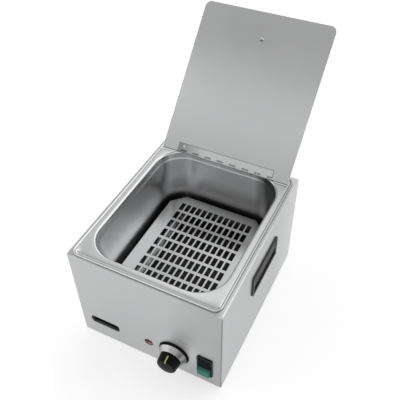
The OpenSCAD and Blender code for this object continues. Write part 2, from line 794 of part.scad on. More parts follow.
module switch_rocker() {
  hw = well_hw - 0.4;
  hh = well_hh - 1.1;
  color([0.16, 0.4, 0.33]) set_origin() translate([switch_x, pivot_y, switch_z])
    rotate([-rocker_deg, 0, 0]) {
      rotate([90, 0, 90]) linear_extrude(2 * hw, center = true)
        polygon([[-8, 0], [-7.6, 2], [-5.5, hh], [-3.2, hh], [1.6, 9], [4.5, 5],
          [4.5, -5], [1.6, -9], [-3.2, -hh], [-5.5, -hh], [-7.6, -2]]);
      rotate([0, 90, 0]) cylinder(h = bezel_w - 3.8, r = rocker_pin_r, center = true);
    }
}

// Hinge and lid, drawn closed about the hinge axis and turned open

module at_hinge() {
  set_origin() translate([0, hinge_y, hinge_z]) children();
}

module lid_turn() {
  at_hinge() rotate([-lid_open_deg, 0, 0]) children();
}

knuckle_w = knuckle_pitch / 2 - 0.3;
fixed_first = -86.5;

// Knuckle spans of one leaf, clipped to the hinge length
function spans(first) = [for (k = [0:8])
  let (c = first + k * knuckle_pitch,
    a = max(c - knuckle_w / 2, -hinge_len / 2), b = min(c + knuckle_w / 2, hinge_len / 2))
  if (b - a > 2) [a, b]];

fixed_spans = spans(fixed_first);
moving_spans = spans(fixed_first - knuckle_pitch / 2);

module hinge_fixed_leaf() {
  color(steel) at_hinge() difference() {
    union() {
      translate([-hinge_len / 2, knuckle_r + notch_gap, -knuckle_r - leaf_gap])
        cube([hinge_len, fixed_leaf_w - knuckle_r - notch_gap, leaf_t]);
      for (s = fixed_spans) {
        translate([s[0], 0, 0]) rotate([0, 90, 0]) cylinder(h = s[1] - s[0], r = knuckle_r);
        translate([s[0], 0, -knuckle_r - leaf_gap])
          cube([s[1] - s[0], knuckle_r + notch_gap + 0.8, leaf_t]);
      }
    }
    rotate([0, 90, 0]) cylinder(h = hinge_len + 10, r = hinge_pin_r + 0.03, center = true);
  }
}

module hinge_moving_leaf() {
  color(steel) lid_turn() difference() {
    union() {
      translate([-hinge_len / 2, -leaf_w, -knuckle_r])
        cube([hinge_len, leaf_w - knuckle_r - notch_gap, leaf_t]);
      for (s = moving_spans) {
        translate([s[0], 0, 0]) rotate([0, 90, 0]) cylinder(h = s[1] - s[0], r = knuckle_r);
        translate([s[0], -knuckle_r - notch_gap - 0.8, -knuckle_r])
          cube([s[1] - s[0], knuckle_r + notch_gap + 0.8, leaf_t]);
      }
    }
    rotate([0, 90, 0]) cylinder(h = hinge_len + 10, r = hinge_pin_r + hinge_fit, center = true);
  }
}

module hinge_pin() {
  color(steel) at_hinge() rotate([0, 90, 0])
    cylinder(h = hinge_len - 0.4, r = hinge_pin_r, center = true);
}

knob_s = lid_fwd - lid_knob_front;

module lid() {
  color(steel) lid_turn() difference() {
    translate([0, -lid_fwd, lid_lo]) linear_extrude(lid_t) {
      translate([-lid_w / 2, lid_r]) square([lid_w, lid_len - lid_r]);
      translate([lid_r - lid_w / 2, 0]) square([lid_w - 2 * lid_r, lid_r + 1]);
      for (s = [-1, 1]) translate([s * (lid_w / 2 - lid_r), lid_r]) circle(lid_r);
    }
    translate([-hinge_len / 2 - 0.8, -knuckle_r - 0.6, -5]) cube([hinge_len + 1.6, 20, 10]);
    translate([0, -knob_s, -5]) cylinder(h = 10, r = 2.1);
  }
}

module lid_knob() {
  color(dark) lid_turn() translate([0, -knob_s, lid_hi]) difference() {
    rotate_extrude() {
      polygon([[0, 0], [10, 0], [10, 2], [8, 5], [8, 9], [lid_knob_r - 2, lid_knob_h - 9],
        [lid_knob_r - 1, lid_knob_h - 3], [0, lid_knob_h - 3]]);
      translate([lid_knob_r - 3, lid_knob_h - 3]) circle(3);
      translate([0, lid_knob_h - 4]) square([lid_knob_r - 3, 4]);
    }
    translate([0, 0, -1]) cylinder(h = 13, r = 2.03);
  }
}

module lid_screw() {
  color(steel) lid_turn() translate([0, -knob_s, lid_lo]) {
    translate([0, 0, -1.8]) cylinder(h = 1.8, r1 = 2.9, r2 = 3.7);
    cylinder(h = lid_t + 10, r = 2);
  }
}

housing();
rear_panel();
rear_screws();
base_plate();
base_screws();
feet();
left_handle_cup();
right_handle_cup();
well();
drain_plate();
heating_element();
element_clamps();
clamp_studs();
clamp_nuts();
thermal_cutout();
sensor_bulb();
terminal_block();
cable_gland();
gland_nut();
dial_ring();
dial_skirt();
knob_grip();
knob_pointer();
control_shaft();
thermostat_body();
thermostat_screws();
pilot_lamp_body();
pilot_lens();
switch_body();
switch_rocker();
lid();
hinge_moving_leaf();
hinge_fixed_leaf();
hinge_pin();
lid_knob();
lid_screw();
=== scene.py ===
"""Looks of the counter-top well warmer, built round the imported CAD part. Metres, +Z up."""

import json
import math

import bpy
from mathutils import Matrix, Vector


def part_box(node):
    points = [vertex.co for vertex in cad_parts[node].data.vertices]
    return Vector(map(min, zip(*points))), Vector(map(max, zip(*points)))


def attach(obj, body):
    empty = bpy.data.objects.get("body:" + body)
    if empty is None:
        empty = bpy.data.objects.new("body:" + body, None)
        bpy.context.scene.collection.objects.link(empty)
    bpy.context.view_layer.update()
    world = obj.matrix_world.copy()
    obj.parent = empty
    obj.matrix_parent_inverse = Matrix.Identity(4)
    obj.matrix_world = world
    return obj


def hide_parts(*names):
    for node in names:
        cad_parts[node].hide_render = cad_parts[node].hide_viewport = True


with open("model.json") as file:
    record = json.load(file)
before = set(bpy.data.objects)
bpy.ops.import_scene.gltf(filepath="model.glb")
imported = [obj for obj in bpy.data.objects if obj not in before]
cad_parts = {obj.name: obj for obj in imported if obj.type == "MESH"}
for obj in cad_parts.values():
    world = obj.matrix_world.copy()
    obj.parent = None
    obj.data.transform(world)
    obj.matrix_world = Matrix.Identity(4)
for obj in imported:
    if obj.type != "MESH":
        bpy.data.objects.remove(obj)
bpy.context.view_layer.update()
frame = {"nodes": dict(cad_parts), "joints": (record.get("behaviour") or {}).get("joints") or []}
MM = 0.001

# Boxes of the CAD pieces that the looks follow
HOUSING_LO, HOUSING_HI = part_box("housing")
WELL_LO, WELL_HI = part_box("well")
SKIRT_LO, SKIRT_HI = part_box("dial_skirt")
LEAF_LO, LEAF_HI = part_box("hinge_moving_leaf")
LID_LO, LID_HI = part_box("lid")
PLATE_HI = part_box("drain_plate")[1]
FRONT_Y, FLANGE_Z = HOUSING_LO.y, WELL_HI.z
WELL_MID = (WELL_LO.y + WELL_HI.y) / 2

# Sizes of the well's section, in millimetres
OPENING_W, OPENING_D, OPENING_R, OPENING_BACK = 254.0, 310.0, 59.0, 2.0
FLANGE_W, FLANGE_D, WELL_HEIGHT = (round(side / MM, 3) for side in WELL_HI - WELL_LO)
FLANGE_R, FLANGE_RISE, FLANGE_ROUND, GROOVE_DEPTH = 13.0, 4.0, 1.2, 1.2
WELL_SHEET, RIM_ROLL, RIM_INSET, WELL_DRAFT, WELL_FILLET = 1.0, 4.0, 1.0, 6.0, 18.0
SHOULDER_STEP, SHOULDER_DROP, SHOULDER_TALL = 1.5, 13.0, 6.2
SHOULDER_LOW, SHOULDER_LOW_OUTSIDE = 5.2, 5.6
WELL_DEPTH = WELL_HEIGHT - WELL_SHEET
WALL = -(RIM_ROLL + RIM_INSET + SHOULDER_STEP)
FOOT = WALL - WELL_DRAFT - WELL_FILLET
FILLET_Z = WELL_FILLET - WELL_DEPTH

# Joints that carry trim: the lid's hinge and the knob's axis
JOINTS = {joint["name"]: joint for joint in frame["joints"]}
HINGE = Vector(JOINTS["lid_hinge"]["pos_m"])
LID_OPEN = math.radians(JOINTS["lid_hinge"]["range_deg"][1])
KNOB_X, _, KNOB_Z = JOINTS["knob_turn"]["pos_m"]


# Materials


def add_node(tree, kind, operation=None, inputs=()):
    """Adds a shader node, sets its operation and the inputs given as a name or place with a value."""
    node = tree.nodes.new(kind)
    if operation:
        node.operation = operation
    for key, value in dict(inputs).items():
        node.inputs[key].default_value = value
    return node


def link_all(tree, *pairs):
    for source, target in pairs:
        tree.links.new(source, target)


def new_material(name):
    mat = bpy.data.materials.new(name)
    mat.use_nodes = True
    tree = mat.node_tree
    tree.nodes.clear()
    out = tree.nodes.new("ShaderNodeOutputMaterial")
    shader = tree.nodes.new("ShaderNodeBsdfPrincipled")
    tree.links.new(shader.outputs["BSDF"], out.inputs["Surface"])
    return mat, tree, shader


def shader_of(mat):
    return next(node for node in mat.node_tree.nodes if node.type == "BSDF_PRINCIPLED")


def noise(tree, scale, detail, stretch=(1, 1, 1)):
    """Noise in the object's own metres, drawn out along the axes with a small stretch."""
    coord = tree.nodes.new("ShaderNodeTexCoord")
    mapping = add_node(tree, "ShaderNodeMapping", inputs={"Scale": stretch})
    tex = add_node(tree, "ShaderNodeTexNoise", inputs={"Scale": scale, "Detail": detail})
    link_all(
        tree,
        (coord.outputs["Object"], mapping.inputs["Vector"]),
        (mapping.outputs["Vector"], tex.inputs["Vector"]),
    )
    return tex.outputs["Fac"]


# The part of a noise's range that holds nearly all its values
NOISE_LOW, NOISE_HIGH = 0.3, 0.7


def spread(tree, value, low, high):
    """Maps the middle of a noise to the range low to high."""
    limits = {"From Min": NOISE_LOW, "From Max": NOISE_HIGH, "To Min": low, "To Max": high}
    node = add_node(tree, "ShaderNodeMapRange", inputs=limits)
    tree.links.new(value, node.inputs["Value"])
    return node.outputs["Result"]


def colour_ramp(tree, stops):
    """Ramp with the given places (0 to 1) and colours."""
    ramp = tree.nodes.new("ShaderNodeValToRGB")
    elements = ramp.color_ramp.elements
    while len(elements) < len(stops):
        elements.new(0.5)
    for element, (place, colour) in zip(elements, stops):
        element.position = place
        element.color = (*colour, 1)
    return ramp


def colour_mix(tree, side, colour):
    """Mix of two colours with one side, A or B, given."""
    mix = tree.nodes.new("ShaderNodeMix")
    mix.data_type = "RGBA"
    mix.inputs[side].default_value = (*colour, 1)
    return mix


def tint(tree, value, dark, light):
    """Colour between dark and light by a noise."""
    ramp = colour_ramp(tree, ((NOISE_LOW, dark), (NOISE_HIGH, light)))
    tree.links.new(value, ramp.inputs["Fac"])
    return ramp.outputs["Color"]


def add_bump(tree, shader, value, distance, strength):
    bump = add_node(tree, "ShaderNodeBump", inputs={"Distance": distance, "Strength": strength})
    link_all(tree, (value, bump.inputs["Height"]), (bump.outputs["Normal"], shader.inputs["Normal"]))


def shade(colour, factor):
    return tuple(c * factor for c in colour)


# Noise scales per metre and bump heights in metres
BRUSH_SCALE, WIPE_SCALE, MOTTLE_SCALE, SKIN_SCALE = 1400, 9, 60, 2200
BRUSH_HEIGHT, SKIN_HEIGHT = 0.02 * MM, 0.03 * MM


def steel(name, colour, rough, stretch=(0.04, 1, 1), grain=0.12, vary=0.16):
    """Satin steel: fine grain drawn out along one axis and faint cloudy marks from wiping."""
    mat, tree, shader = new_material(name)
    shader.inputs["Metallic"].default_value = 1.0
    fine = noise(tree, BRUSH_SCALE, 3, stretch)
    cloudy = noise(tree, WIPE_SCALE, 3)
    mixed = add_node(tree, "ShaderNodeMath", "MULTIPLY_ADD", {1: vary})
    base = rough - vary / 2
    link_all(
        tree,
        (tint(tree, cloudy, shade(colour, 0.98), shade(colour, 1.015)), shader.inputs["Base Color"]),
        (fine, mixed.inputs[0]),
        (spread(tree, cloudy, base - 0.02, base + 0.02), mixed.inputs[2]),
        (mixed.outputs["Value"], shader.inputs["Roughness"]),
    )
    add_bump(tree, shader, fine, BRUSH_HEIGHT, grain)
    return mat


def plastic(name, colour, rough, grain=0.2, gloss=0.5):
    """Moulded plastic with a fine skin texture."""
    mat, tree, shader = new_material(name)
    shader.inputs["Specular IOR Level"].default_value = gloss
    cloudy = noise(tree, MOTTLE_SCALE, 3)
    link_all(
        tree,
        (tint(tree, cloudy, shade(colour, 0.85), shade(colour, 1.15)), shader.inputs["Base Color"]),
        (spread(tree, cloudy, rough - 0.05, rough + 0.06), shader.inputs["Roughness"]),
    )
    add_bump(tree, shader, noise(tree, SKIN_SCALE, 2), SKIN_HEIGHT, grain)
    return mat


def lit_plastic(name, colour, rough, glow):
    """Coloured plastic under a thin clear coat, with a painted glow of its own, though it is no lamp."""
    mat = plastic(name, colour, rough, 0.05)
    shader = shader_of(mat)
    shader.inputs["Emission Color"].default_value = (*colour, 1)
    shader.inputs["Emission Strength"].default_value = glow
    shader.inputs["Coat Weight"].default_value = 0.4
    return mat


def into_piece(node):
    """Matrix from the frame to the coordinates of a CAD piece, which its material reads."""
    return frame["nodes"][node].matrix_world.inverted()


def shaded_by_height(name, node, rough, stops, gloss=0.5):
    """Plastic with painted light and shade over the height of a piece; stops are heights (0 to 1) and
    colours.
    """
    mat = plastic(name, stops[0][1], rough, 0.05, gloss)
    tree = mat.node_tree
    low, high = (into_piece(node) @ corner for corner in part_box(node))
    coord = tree.nodes.new("ShaderNodeTexCoord")
    split = tree.nodes.new("ShaderNodeSeparateXYZ")
    height = add_node(tree, "ShaderNodeMapRange", inputs={"From Min": low.z, "From Max": high.z})
    ramp = colour_ramp(tree, stops)
    link_all(
        tree,
        (coord.outputs["Object"], split.inputs["Vector"]),
        (split.outputs["Z"], height.inputs["Value"]),
        (height.outputs["Result"], ramp.inputs["Fac"]),
        (ramp.outputs["Color"], shader_of(mat).inputs["Base Color"]),
    )
    return mat


ALONG_X, ALONG_Y, ALONG_Z = (0.04, 1, 1), (1, 0.04, 1), (1, 1, 0.04)
STEEL = (0.60, 0.605, 0.61)
BLACK = (0.005, 0.0045, 0.006)

# Painted light and shade over the height of a piece: share of the height and colour
# Rocker: painted light on the lower half, which tips out, going over to painted shade on the upper half
ROCKER_PAINTED_LIGHT = (
    (0.08, (0.11, 0.33, 0.27)), (0.3, (0.05, 0.22, 0.17)), (0.48, (0.015, 0.09, 0.07)),
    (0.56, (0.002, 0.01, 0.009)),
)
# Pilot lens: painted light on its lower part and painted shade at its top, under the rim of its recess
LENS_PAINTED_LIGHT = ((0.22, (0.85, 0.55, 0.48)), (0.38, (0.45, 0.2, 0.16)), (0.5, (0.03, 0.012, 0.01)))
# Lid screw: painted shade low on the head and a painted highlight on its top
SCREW_PAINTED_LIGHT = ((0.68, (0.04, 0.04, 0.04)), (0.76, (0.5, 0.5, 0.5)), (0.82, (0.98, 0.98, 0.98)))

MATERIALS = {
    "housing": steel("housing_steel", STEEL, 0.46, ALONG_X, 0.05, 0.12),
    "rear_panel": steel("rear_panel_steel", shade(STEEL, 0.96), 0.38, ALONG_X),
    "base_plate": steel("base_plate_steel", shade(STEEL, 0.9), 0.42, ALONG_Y),
    "screws": steel("screw_steel", (0.8, 0.8, 0.8), 0.3, ALONG_Y, 0.05, 0.08),
    "well": steel("well_steel", (0.93, 0.935, 0.94), 0.33, ALONG_Z, 0.0, 0.03),
    "flange": steel("flange_steel", (0.92, 0.925, 0.93), 0.2, ALONG_X, 0.01, 0.04),
    "drain_plate": steel("drain_plate_steel", (0.62, 0.625, 0.63), 0.24, ALONG_Y, 0.02, 0.06),
    "lid": steel("lid_steel", STEEL, 0.2, ALONG_X, 0.02, 0.06),
    "hinge": steel("hinge_steel", (0.67, 0.675, 0.68), 0.24, ALONG_X, 0.05, 0.06),
    "element": steel("element_steel", (0.2, 0.19, 0.19), 0.45, ALONG_Y),
    "copper": steel("copper", (0.7, 0.38, 0.25), 0.35, ALONG_Y),
    "skirt": steel("skirt_metal", (0.55, 0.55, 0.56), 0.22, ALONG_Y, 0.04),
    "rubber": plastic("foot_rubber", (0.02, 0.02, 0.02), 0.8, 0.4),
    "cup": plastic("cup_plastic", (0.03, 0.03, 0.032), 0.5, 0.3),
    "black": plastic("black_plastic", BLACK, 0.34, gloss=0.35),
    "grip": plastic("grip_plastic", BLACK, 0.38, gloss=0.12),
    "ring": plastic("ring_plastic", BLACK, 0.6, gloss=0.1),
    "bezel": plastic("bezel_plastic", BLACK, 0.35, 0.05, gloss=0.15),
    "ceramic": plastic("ceramic", (0.75, 0.73, 0.68), 0.5),
    "pointer": lit_plastic("pointer_plastic", (0.5, 0.6, 0.1), 0.4, 0.08),
    # Dark material for the dial's print, used also for painted shadow at the hinge and painted shade in the
    # screws' crosses
    "print_and_shade": plastic("dial_print_and_shade", (0.02, 0.02, 0.02), 0.6),
    # Painted shade for the dark strips in the flange's groove and at its joint with the deck
    "joint": plastic("joint_shadow", (0.18, 0.18, 0.18), 0.7, gloss=0.2),
    "rocker": shaded_by_height("rocker_plastic", "switch_rocker", 0.35, ROCKER_PAINTED_LIGHT, 0.08),
    "lens": shaded_by_height("lens_plastic", "pilot_lens", 0.35, LENS_PAINTED_LIGHT, 0.15),
    "lid_screw": shaded_by_height("lid_screw_metal", "lid_screw", 0.3, SCREW_PAINTED_LIGHT),
}
NODE_LOOKS = {
    "housing": "housing", "rear_panel": "rear_panel", "rear_screws": "screws",
    "base_plate": "base_plate", "base_screws": "screws", "feet": "rubber",
    "left_handle_cup": "cup", "right_handle_cup": "cup", "well": "well",
    "drain_plate": "drain_plate", "heating_element": "element", "element_clamps": "base_plate",
    "clamp_studs": "screws", "clamp_nuts": "screws", "thermal_cutout": "black",
    "sensor_bulb": "copper", "terminal_block": "ceramic", "cable_gland": "black",
    "gland_nut": "black", "dial_ring": "ring", "dial_skirt": "skirt", "knob_grip": "grip",
    "knob_pointer": "pointer", "control_shaft": "screws", "thermostat_body": "ceramic",
    "thermostat_screws": "screws", "pilot_lamp_body": "black", "pilot_lens": "lens",
    "switch_body": "bezel", "switch_rocker": "rocker", "lid": "lid",
    "hinge_moving_leaf": "hinge", "hinge_fixed_leaf": "hinge", "hinge_pin": "screws",
    "lid_knob": "black", "lid_screw": "lid_screw",
}


def paint_light_and_shade(look, node, colour, along, start, end, centre=None):
    """Paints light and shade into the colour of a steel along a direction, or with the distance from a centre
    where one is given. The colour is full at the start and gone at the end; places in the frame's metres."""
    mat = MATERIALS[look]
    tree, shader = mat.node_tree, shader_of(mat)
    before = shader.inputs["Base Color"].links[0].from_socket
    back = into_piece(node)
    if centre:
        reach = add_node(tree, "ShaderNodeVectorMath", "DISTANCE", {1: back @ Vector(centre)})
        shift = 0
    else:
        direction = back.to_3x3() @ Vector(along)
        reach = add_node(tree, "ShaderNodeVectorMath", "DOT_PRODUCT", {1: direction})
        shift = back.to_translation().dot(direction)
    limits = {"From Min": start + shift, "From Max": end + shift}
    place = add_node(tree, "ShaderNodeMapRange", inputs=limits)
    coord = tree.nodes.new("ShaderNodeTexCoord")
    mix = colour_mix(tree, "A", colour)
    link_all(
        tree,
        (coord.outputs["Object"], reach.inputs[0]),
        (reach.outputs["Value"], place.inputs["Value"]),
        (place.outputs["Result"], mix.inputs["Factor"]),
        (before, mix.inputs["B"]),
        (mix.outputs["Result"], shader.inputs["Base Color"]),
    )


# Places along the directions of the painted light and shade below
REAR_FOOT = PLATE_HI.z - 0.4 * WELL_MID
PLATE_DARK = -PLATE_HI.y - 55 * MM
CORNER = HOUSING_HI.x - FRONT_Y
FRONT_RIGHT = 0.03 * HOUSING_HI.x - FRONT_Y
DECK_RIGHT = HOUSING_HI.z + 0.6 * HOUSING_HI.x - 0.03 * FRONT_Y
OVER_KNOB = (KNOB_X + 14 * MM, FRONT_Y, KNOB_Z + 24 * MM)

# Painted light and shade, each laid over the ones before: look, piece, colour, direction, full at, gone at,
# centre
PAINTED_LIGHT_AND_SHADE = (
    # Painted shade low in the well, reaching higher towards the rear
    ("well", "well", (0.45, 0.45, 0.455), (0, -0.4, 1), REAR_FOOT - 42 * MM, REAR_FOOT + 2 * MM),
    # Painted shade in the well's rear right corner
    ("well", "well", (0.12, 0.12, 0.122), (1, 1, 0), WELL_MID + 236 * MM, WELL_MID + 216 * MM),
    # Painted shade on the well's walls and bottom under the drain plate
    ("well", "well", (0.04, 0.04, 0.042), (0, -0.14, 1), PLATE_HI.z - 18 * MM, PLATE_HI.z + 10 * MM),
    # Painted shade on the flange, growing towards its rear right
    ("flange", "well", (0.45, 0.452, 0.455), (1, 0.45, 0), 190 * MM, -80 * MM),
    # Painted shade on the left end of the hinge's moving leaf
    ("hinge", "hinge_moving_leaf", (0.3, 0.3, 0.305), (-1, 0, 0), 100 * MM, 40 * MM),
    # Painted shade on the drain plate, darkest at its rear right
    ("drain_plate", "drain_plate", (0.32, 0.32, 0.325), (-0.5, -1, 0), PLATE_DARK, PLATE_DARK + 115 * MM),
    # Painted shade on the front panel, growing towards its right end
    ("housing", "housing", shade(STEEL, 0.82), (0.03, -1, 0), FRONT_RIGHT, FRONT_RIGHT - 3 * MM),
    # Painted light on the housing, growing towards its rear
    ("housing", "housing", shade(STEEL, 1.15), (0, 1, 0), HOUSING_HI.y, 0),
    # Painted light on the front panel over the knob, lightening the knob's dark reflection there
    ("housing", "housing", shade(STEEL, 1.2), None, 12 * MM, 48 * MM, OVER_KNOB),
    # Painted shade along the bend of the housing's front right corner
    ("housing", "housing", (0.3, 0.3, 0.305), (1, -1, 0), CORNER - 1.4 * MM, CORNER - 2.2 * MM),
    # Painted highlight along the deck's right margin
    ("housing", "housing", (0.85, 0.855, 0.86), (0.6, -0.03, 1), DECK_RIGHT - 1 * MM, DECK_RIGHT - 9 * MM),
)
for painted_shift in PAINTED_LIGHT_AND_SHADE:
    paint_light_and_shade(*painted_shift)


def painted_reflections(look, node, stops):
    """Painted reflections on turned metal: grey by the angle round the knob, as share of a turn from straight
    down over the left.
    """
    mat = MATERIALS[look]
    tree = mat.node_tree
    axis = into_piece(node) @ Vector((KNOB_X, 0, KNOB_Z))
    coord = tree.nodes.new("ShaderNodeTexCoord")
    from_axis = add_node(tree, "ShaderNodeVectorMath", "SUBTRACT", {1: axis})
    split = tree.nodes.new("ShaderNodeSeparateXYZ")
    angle = add_node(tree, "ShaderNodeMath", "ARCTAN2")
    share = add_node(tree, "ShaderNodeMath", "MULTIPLY_ADD", {1: 0.5 / math.pi, 2: 0.5})
    ramp = colour_ramp(tree, [(place, (level, level, level * 1.01)) for place, level in stops])
    link_all(
        tree,
        (coord.outputs["Object"], from_axis.inputs[0]),
        (from_axis.outputs["Vector"], split.inputs["Vector"]),
        (split.outputs["X"], angle.inputs[0]),
        (split.outputs["Z"], angle.inputs[1]),
        (angle.outputs["Value"], share.inputs[0]),
        (share.outputs["Value"], ramp.inputs["Fac"]),
        (ramp.outputs["Color"], shader_of(mat).inputs["Base Color"]),
    )


# Painted highlights and shade round the skirt: share of a turn and grey
SKIRT_PAINTED_REFLECTIONS = (
    (0.0, 0.3), (0.2, 0.5), (0.27, 0.42), (0.36, 0.5), (0.42, 0.85), (0.48, 0.6), (0.56, 0.42), (0.64, 0.2),
    (0.68, 0.32), (0.73, 0.14), (0.78, 0.3), (0.86, 0.12), (1.0, 0.3),
)
painted_reflections("skirt", "dial_skirt", SKIRT_PAINTED_REFLECTIONS)


def dress(obj, look):
    obj.data.materials.clear()
    obj.data.materials.append(MATERIALS[look])


for node_name, look_name in NODE_LOOKS.items():
    dress(frame["nodes"][node_name], look_name)


# Mesh helpers


def mesh_piece(name, verts, faces, look, body, smooth_deg=None):
    mesh = bpy.data.meshes.new(name)
    mesh.from_pydata([Vector(v) for v in verts], [], faces)
    mesh.update()
    if smooth_deg is not None:
        mesh.shade_smooth()
        mesh.set_sharp_from_angle(angle=math.radians(smooth_deg))
    obj = bpy.data.objects.new(name, mesh)
    bpy.context.scene.collection.objects.link(obj)
    obj.data.materials.append(MATERIALS[look])
    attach(obj, body)
    return obj


def box_mesh(size):
    x, y, z = (s / 2 for s in size)
    verts = [(sx * x, sy * y, sz * z) for sx in (-1, 1) for sy in (-1, 1) for sz in (-1, 1)]
    faces = [(0, 1, 3, 2), (4, 6, 7, 5), (0, 4, 5, 1), (2, 3, 7, 6), (0, 2, 6, 4), (1, 5, 7, 3)]
    return verts, faces


def ring_faces(rings, count):
    """Quads between rings of count points each."""
    return [
        (k * count + i, k * count + (i + 1) % count, (k + 1) * count + (i + 1) % count, (k + 1) * count + i)
        for k in range(rings - 1)
        for i in range(count)
    ]


def disc_mesh(radius, height, count=24):
    """Disc standing on z = 0 with a bevelled upper rim."""
    rings = [(radius, 0), (radius, height * 0.6), (radius * 0.85, height)]
    verts = [
        (r * math.cos(2 * math.pi * i / count), r * math.sin(2 * math.pi * i / count), z)
        for r, z in rings
        for i in range(count)
    ]
    faces = ring_faces(len(rings), count)
    faces.append(tuple(range((len(rings) - 1) * count, len(rings) * count)))
    faces.append(tuple(range(count - 1, -1, -1)))
    return verts, faces


def placed(verts, matrix):
    return [matrix @ Vector(v) for v in verts]


def add_box(verts, faces, size, matrix):
    """Adds a box, placed by a matrix, to the points and faces of a piece."""
    points, sides = box_mesh(size)
    start = len(verts)
    verts += placed(points, matrix)
    faces += [tuple(start + f for f in face) for face in sides]


# The drawn well: the same rings as the CAD loft, finer and smooth


def arc(cu, cz, r, a0, a1, steps):
    angles = [math.radians(a0 + (a1 - a0) * i / steps) for i in range(steps + 1)]
    return [(cu + r * math.cos(a), cz + r * math.sin(a)) for a in angles]


# Steps of each corner and of each arc of the section, and the angle up to which the sheet looks round
CORNER_STEPS, ARC_STEPS, WELL_SMOOTH = 20, 12, 28


def well_ring(w, d, r, z, back=0.0):
    """Rounded rectangle round the well's middle, z from the rim's top; sizes in millimetres."""
    centre_y = WELL_MID + back * MM
    points = []
    for corner in range(4):
        sx = 1 if corner in (0, 3) else -1
        sy = 1 if corner < 2 else -1
        for i in range(CORNER_STEPS + 1):
            a = math.radians(90 * (corner + i / CORNER_STEPS))
            x = sx * (w / 2 - r) + r * math.cos(a)
            y = sy * (d / 2 - r) + r * math.sin(a)
            points.append((x * MM, centre_y + y * MM, FLANGE_Z + z * MM))
    return points


def opening_ring(out, z):
    return well_ring(OPENING_W + 2 * out, OPENING_D + 2 * out, OPENING_R + out, z, OPENING_BACK)


def flange_ring(inset, z):
    return well_ring(FLANGE_W - 2 * inset, FLANGE_D - 2 * inset, FLANGE_R - inset, z)


# Shoulder: shares of its step and of its height, from below
SHOULDER_EASE = ((0.0, 0.0), (0.05, 0.15), (0.2, 0.32), (0.5, 0.5), (0.8, 0.68), (0.95, 0.85), (1.0, 1.0))

# Drip groove: insets from the flange's edge with shares of its depth, and the insets of its underside
GROOVE = (
    (5.1, 0), (4.8, 0.08), (4.4, 0.35), (4.0, 0.8), (3.7, 1),
    (3.1, 1), (2.8, 0.8), (2.4, 0.35), (2.0, 0.08), (1.7, 0),
)
GROOVE_UNDER, GROOVE_UNDER_END = 4.3, 6.2


def inner_run(steps):
    """Section from the inner bottom over wall and shoulder to the rim's top: out from the opening, height."""
    foot = -SHOULDER_DROP - SHOULDER_LOW
    run = arc(FOOT, FILLET_Z, WELL_FILLET, 270, 360, steps)
    run += [(WALL + SHOULDER_STEP * k, foot + SHOULDER_TALL * t) for k, t in SHOULDER_EASE]
    return run + arc(0, -RIM_ROLL, RIM_ROLL, 180, 90, steps)


def edge_run():
    """Section over the groove and the turned-down edge and back underneath: in from the edge, height."""
    under = -GROOVE_DEPTH - WELL_SHEET
    run = [(inset, -GROOVE_DEPTH * share) for inset, share in GROOVE]
    run += arc(FLANGE_ROUND, -FLANGE_ROUND, FLANGE_ROUND, 120, 180, 2)
    run += [(0, -FLANGE_RISE), (WELL_SHEET, -FLANGE_RISE), (WELL_SHEET, under)]
    return run + [(GROOVE_UNDER, under), (GROOVE_UNDER_END, -WELL_SHEET)]


def outer_run(steps):
    """Section from under the rim down the outside to the bottom: out from the opening, height."""
    run = arc(0, -RIM_ROLL, RIM_ROLL - WELL_SHEET, 90, 180, steps)
    run += [(-RIM_ROLL, -SHOULDER_DROP), (WALL + WELL_SHEET, -SHOULDER_DROP - SHOULDER_LOW_OUTSIDE)]
    return run + arc(FOOT, FILLET_Z, WELL_FILLET + WELL_SHEET, 360, 270, steps)


def build_well():
    rings = [opening_ring(out, z) for out, z in inner_run(ARC_STEPS)]
    rings += [flange_ring(inset, z) for inset, z in edge_run()]
    rings += [opening_ring(out, z) for out, z in outer_run(ARC_STEPS // 2)]
    n = len(rings[0])
    verts = [point for ring in rings for point in ring]
    faces = [face[::-1] for face in ring_faces(len(rings), n)]
    faces.append(tuple(range(n)))
    faces.append(tuple(range(len(verts) - 1, len(verts) - n - 1, -1)))
    well = mesh_piece("well_smooth", verts, faces, "well", "housing", WELL_SMOOTH)
    well.data.materials.append(MATERIALS["flange"])
    flange_from = FLANGE_Z - (FLANGE_RISE - 0.1) * MM
    for face in well.data.polygons:
        if face.center.z > flange_from:
            face.material_index = 1
    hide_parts("well")


# Dark strips of painted shade on the flange: name, insets of their two sides from its edge, height
FLANGE_SHADE_LINES = (
    ("groove_shade_line", 3.6, 3.15, 0.03 - GROOVE_DEPTH),
    ("deck_contact_shadow", 0, -0.55, 0.05 - FLANGE_RISE),
)


def flange_shade_lines():
    """Dark strips of painted shade in the drip groove and of painted shadow at the joint with the deck. The
    groove's front shows one only at its right end."""
    front, right = WELL_LO.y + 5 * MM, 0.9 * FLANGE_W / 2 * MM
    for name, near, far, z in FLANGE_SHADE_LINES:
        loops = [flange_ring(inset, z) for inset in (near, far)]
        n = len(loops[0])
        faces = [(i, n + i, n + (i + 1) % n, (i + 1) % n) for i in range(n)]
        if name == "groove_shade_line":
            faces = [f for f in faces if loops[0][f[0]][1] > front or loops[0][f[3]][0] > right]
        line = mesh_piece(name, loops[0] + loops[1], faces, "joint", "housing")


build_well()
flange_shade_lines()


# Marks on the dial skirt

SKIRT_FRONT_R = 21.2 * MM
SCALE_FIRST, SCALE_LAST = math.radians(45), math.radians(270)
SCALE_NUMBERS, FIRST_NUMBER, NUMBER_STEP, MARKS_PER_NUMBER = 7, 30, 10, 4
MARK_W, MARK_LONG, MARK_SHORT, MARK_THICK = 0.5 * MM, 3.0 * MM, 1.7 * MM, 0.06 * MM
DOT_R, DOT_THICK = 0.9 * MM, 0.05 * MM
NUMBER_SIZE, NUMBER_THICK = 4.2 * MM, 0.03 * MM

